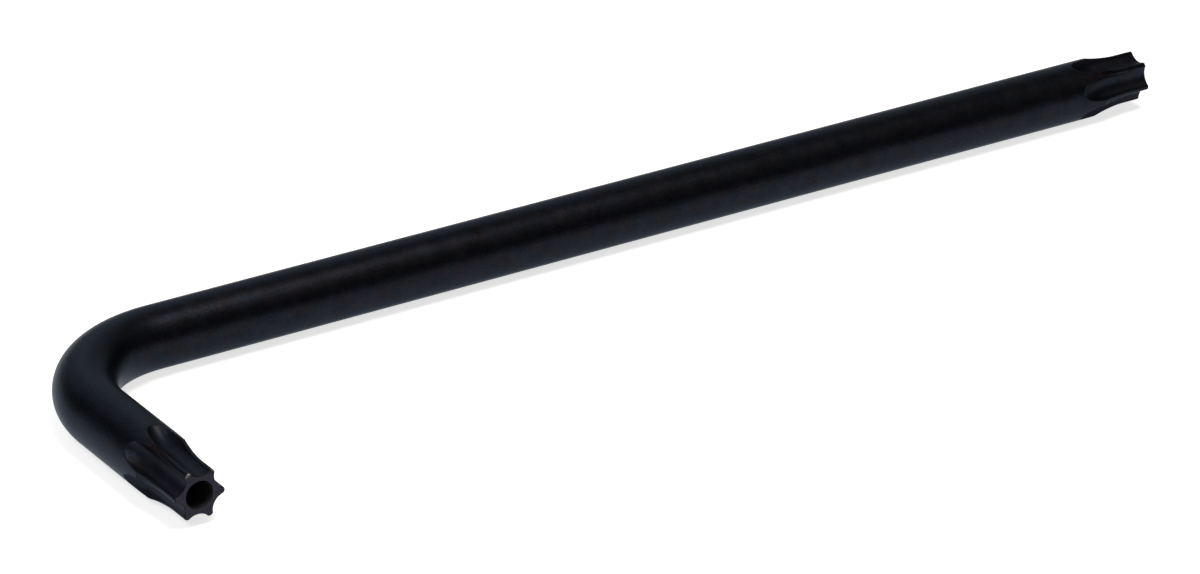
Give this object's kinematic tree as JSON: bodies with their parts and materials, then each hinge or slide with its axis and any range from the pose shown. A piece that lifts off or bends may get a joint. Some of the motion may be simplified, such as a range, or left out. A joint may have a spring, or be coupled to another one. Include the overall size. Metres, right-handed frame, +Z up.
{
  "type": "security six-lobe key",
  "caption": "L-shaped key of round black steel bar, with a lobed star and a pin hole at each end, for turning tamper-resistant screws that have a centre pin.",
  "frame": {"origin": "on the surface that the key lies on, under the middle of its overall box", "axes": "+X along the long arm, away from the bend; the short arm points along -Y; +Z up, at right angles to both arms"},
  "size_m": [0.116, 0.0292, 0.0054],
  "materials": {
    "black_oxide_steel": "hardened tool steel with a satin black oxide finish"
  },
  "bodies": {
    "root": {"key": "black_oxide_steel"}
  },
  "joints": []
}
